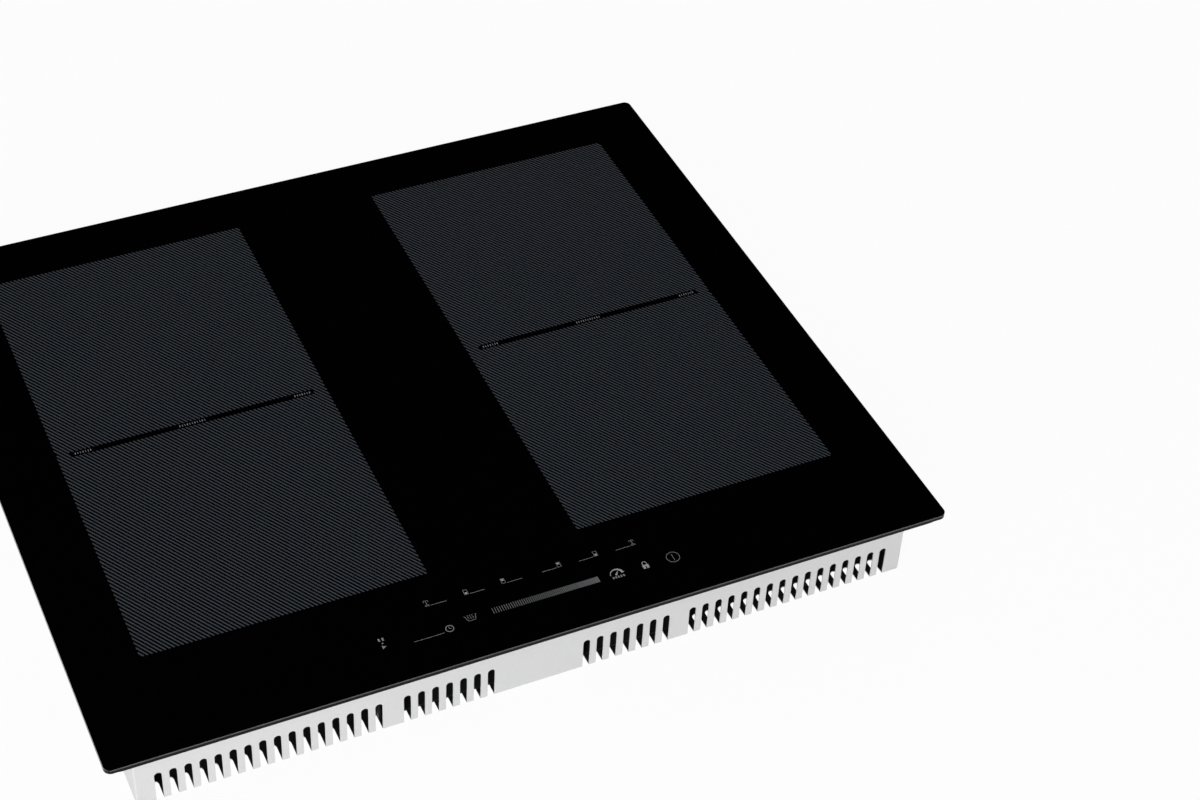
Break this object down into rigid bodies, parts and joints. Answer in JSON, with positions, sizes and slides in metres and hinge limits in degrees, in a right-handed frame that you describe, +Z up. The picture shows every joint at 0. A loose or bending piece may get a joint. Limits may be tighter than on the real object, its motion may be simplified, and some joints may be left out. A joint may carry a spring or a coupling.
{
  "type": "built-in induction cooktop",
  "caption": "Flush black-glass induction cooktop with two bridging zones, touch controls, a vented folded-sheet casing and its coils, boards and blowers inside.",
  "frame": {"origin": "middle of the underside of the casing", "axes": "+X to the right of the user who stands in front, +Y to the back, +Z up out of the glass"},
  "size_m": [0.59, 0.52, 0.0635],
  "materials": {
    "black_glass": "polished black glass ceramic with thin grey print",
    "silicone": "matt black silicone bead",
    "foam": "closed-cell foam strip",
    "zinc_steel": "dull zinc-coated sheet",
    "casing_silver": "smooth satin silver sheet",
    "pale_plastic": "moulded pale plastic",
    "dark_plastic": "moulded black plastic",
    "circuit_board": "green solder mask",
    "choke_dark": "dark core with a plastic bobbin",
    "capacitor_film": "yellow film capacitor case",
    "pad_graphite": "conductive foam",
    "display_white": "white display housing",
    "ribbon_grey": "grey ribbon cable",
    "lead_sleeve": "glass-fibre sleeve over stranded wire",
    "spring_steel": "bright spring steel",
    "screw_zinc": "zinc-plated steel",
    "carrier_plastic": "glass-filled moulding",
    "ferrite": "dark grey sintered ferrite",
    "sensor_silicone": "pale silicone cup",
    "litz_copper": "lacquered copper litz wire",
    "mica": "pressed mica sheet",
    "plate_aluminium": "plain rolled aluminium",
    "sink_aluminium": "extruded aluminium",
    "transistor_epoxy": "black epoxy",
    "fan_black": "moulded black plastic",
    "rotor_grey": "dark grey impeller"
  },
  "bodies": {
    "casing": {"base_tray": "casing_silver", "board_carrier": "dark_plastic", "cable_clamp": "dark_plastic", "casing_screws": "screw_zinc", "clip_plates": "spring_steel", "coil_carrier_front_left": "carrier_plastic", "coil_carrier_front_right": "carrier_plastic", "coil_carrier_rear_left": "carrier_plastic", "coil_carrier_rear_right": "carrier_plastic", "coil_leads": "lead_sleeve", "coil_plate_left": "plate_aluminium", "coil_plate_right": "plate_aluminium", "coil_winding_front_left": "litz_copper", "coil_winding_front_right": "litz_copper", "coil_winding_rear_left": "litz_copper", "coil_winding_rear_right": "litz_copper", "control_ribbon": "ribbon_grey", "control_tray": "dark_plastic", "display_modules": "display_white", "fan_cover_left": "fan_black", "fan_cover_right": "fan_black", "fan_housing_left": "fan_black", "fan_housing_right": "fan_black", "ferrite_bars_front_left": "ferrite", "ferrite_bars_front_right": "ferrite", "ferrite_bars_rear_left": "ferrite", "ferrite_bars_rear_right": "ferrite", "film_capacitors_left": "capacitor_film", "film_capacitors_right": "capacitor_film", "filter_board": "circuit_board", "filter_capacitors": "capacitor_film", "filter_choke": "choke_dark", "glass_adhesive": "silicone", "glass_top": "black_glass", "heat_sink_left": "sink_aluminium", "heat_sink_right": "sink_aluminium", "mica_sheet_left": "mica", "mica_sheet_right": "mica", "mounting_frame": "zinc_steel", "plate_posts": "pale_plastic", "power_board_left": "circuit_board", "power_board_right": "circuit_board", "power_transistors_left": "transistor_epoxy", "power_transistors_right": "transistor_epoxy", "sealing_gasket": "foam", "temperature_sensor_front_left": "sensor_silicone", "temperature_sensor_front_right": "sensor_silicone", "temperature_sensor_rear_left": "sensor_silicone", "temperature_sensor_rear_right": "sensor_silicone", "terminal_block": "pale_plastic", "terminal_box": "dark_plastic", "touch_board": "circuit_board", "touch_pads": "pad_graphite"},
    "fan_rotor_left": {"fan_rotor_left": "rotor_grey"},
    "fan_rotor_right": {"fan_rotor_right": "rotor_grey"},
    "side_clip_front_left": {"side_clip_front_left": "spring_steel"},
    "side_clip_front_right": {"side_clip_front_right": "spring_steel"},
    "side_clip_rear_left": {"side_clip_rear_left": "spring_steel"},
    "side_clip_rear_right": {"side_clip_rear_right": "spring_steel"},
    "terminal_cover": {"terminal_cover": "dark_plastic"}
  },
  "joints": [
    {"name": "fan_spin_left", "type": "hinge", "parent": "casing", "child": "fan_rotor_left", "pos_m": [-0.12, 0.15, 0.028], "axis": [0, 0, 1], "continuous": true},
    {"name": "fan_spin_right", "type": "hinge", "parent": "casing", "child": "fan_rotor_right", "pos_m": [0.12, 0.15, 0.028], "axis": [0, 0, 1], "continuous": true},
    {"name": "terminal_cover_hinge", "type": "hinge", "parent": "casing", "child": "terminal_cover", "pos_m": [0, 0.2385, 0.0365], "axis": [1, 0, 0], "range_deg": [0, 90]},
    {"name": "side_clip_flex_rear_left", "type": "hinge", "parent": "casing", "child": "side_clip_rear_left", "pos_m": [-0.275, 0.14, 0.0428], "axis": [0, -1, 0], "range_deg": [0, 5], "stiffness_Nm_per_rad": 1.5},
    {"name": "side_clip_flex_front_left", "type": "hinge", "parent": "casing", "child": "side_clip_front_left", "pos_m": [-0.275, -0.14, 0.0428], "axis": [0, -1, 0], "range_deg": [0, 5], "stiffness_Nm_per_rad": 1.5},
    {"name": "side_clip_flex_rear_right", "type": "hinge", "parent": "casing", "child": "side_clip_rear_right", "pos_m": [0.275, 0.14, 0.0428], "axis": [0, 1, 0], "range_deg": [0, 5], "stiffness_Nm_per_rad": 1.5},
    {"name": "side_clip_flex_front_right", "type": "hinge", "parent": "casing", "child": "side_clip_front_right", "pos_m": [0.275, -0.14, 0.0428], "axis": [0, 1, 0], "range_deg": [0, 5], "stiffness_Nm_per_rad": 1.5}
  ]
}
